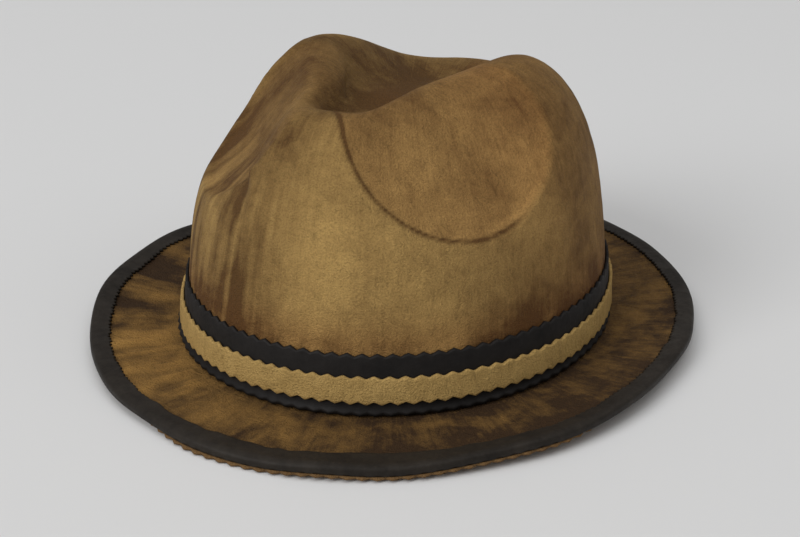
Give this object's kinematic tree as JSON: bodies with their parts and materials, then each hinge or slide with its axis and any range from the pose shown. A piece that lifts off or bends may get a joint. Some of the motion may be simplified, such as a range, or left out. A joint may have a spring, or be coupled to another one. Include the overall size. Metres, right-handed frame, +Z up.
{
  "type": "leather fedora hat",
  "caption": "Teardrop-crown leather fedora with a pinched front, two pinked leather hatbands, edged, nearly flat brim, lining and sweatband.",
  "frame": {"origin": "centre of the bounding box's bottom face, on the floor the hat rests on, under the middle of the head opening", "axes": "+Z up; -Y towards the front of the hat; +X towards the wearer's left"},
  "size_m": [0.269, 0.298, 0.127],
  "materials": {
    "crown_leather": "matte, hand-dyed, mottled",
    "brim_leather": "matte, hand-dyed, streaked",
    "under_brim_leather": "matte",
    "brim_stiffener": "stiffened canvas",
    "edging_leather": "satin",
    "hatband_dark_leather": "satin",
    "hatband_cream_leather": "matte",
    "sweatband_leather": "smooth",
    "waxed_thread": "waxed",
    "lining_satin": "satin weave"
  },
  "bodies": {
    "root": {"crown_leather": "crown_leather", "lining_side": "lining_satin", "lining_tip": "lining_satin", "sweatband": "sweatband_leather", "sweatband_stitching": "waxed_thread", "brim_upper": "brim_leather", "brim_core": "brim_stiffener", "brim_under": "under_brim_leather", "brim_edging": "edging_leather", "hatband_dark": "hatband_dark_leather", "hatband_cream": "hatband_cream_leather"}
  },
  "joints": []
}
